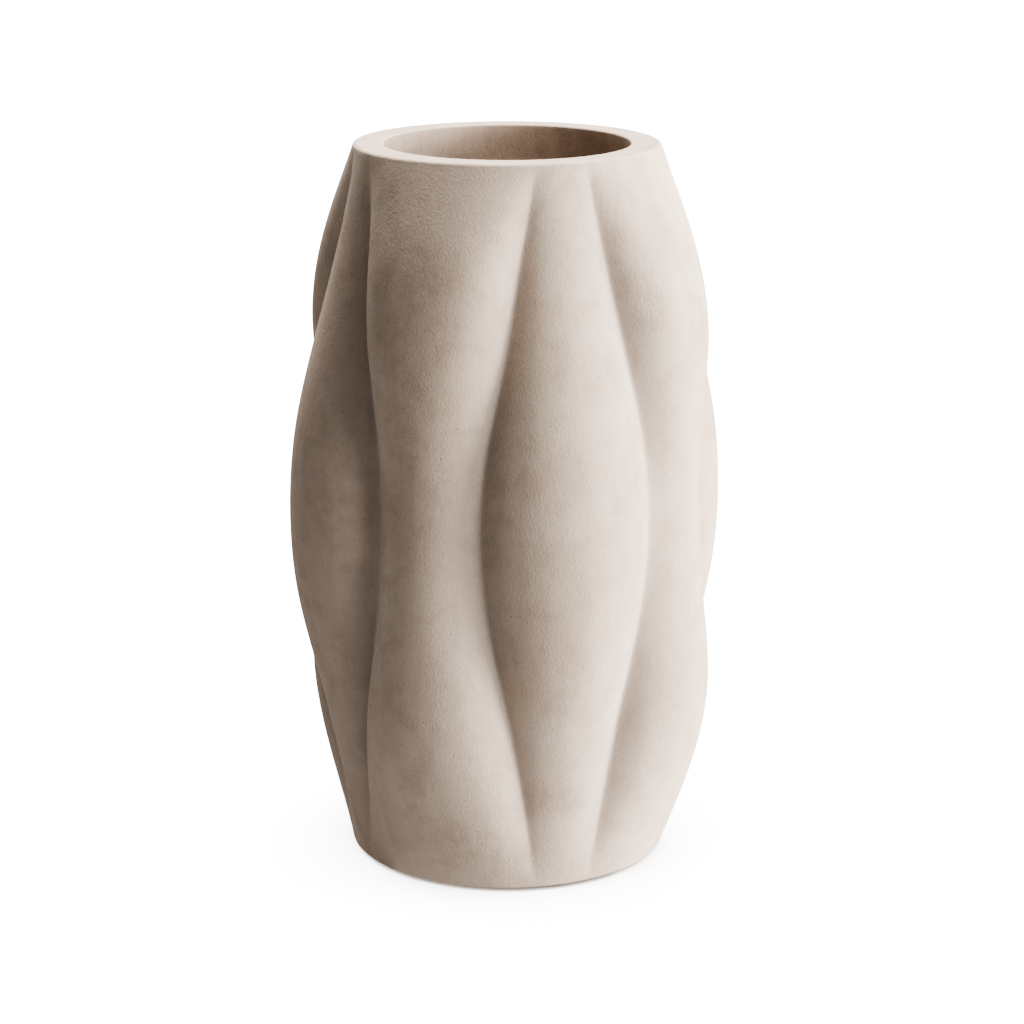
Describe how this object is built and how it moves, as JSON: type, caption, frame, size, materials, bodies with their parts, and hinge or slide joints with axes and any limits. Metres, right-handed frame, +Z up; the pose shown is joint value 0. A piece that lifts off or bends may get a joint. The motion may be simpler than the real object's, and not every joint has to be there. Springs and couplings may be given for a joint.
{
  "type": "urn vase",
  "caption": "Tall barrel-shaped vase with soft upright lobes, alternately leaf-shaped and waisted, a thick flat rim and a round open mouth, on felt foot pads.",
  "frame": {"origin": "centre of the surface that the foot pads stand on", "axes": "+Z up along the vase's own axis, from foot to mouth; -Y is the front and runs through the ridge of one leaf-shaped lobe, as +X, +Y and -X run through the other three"},
  "size_m": [0.186, 0.186, 0.3],
  "materials": {
    "stoneware": "matt, unglazed, fine sandy grain with faint brown mottling",
    "felt": "pressed wool felt"
  },
  "bodies": {
    "root": {"vase_body": "stoneware", "foot_pad_front": "felt", "foot_pad_right": "felt", "foot_pad_back": "felt", "foot_pad_left": "felt"}
  },
  "joints": []
}
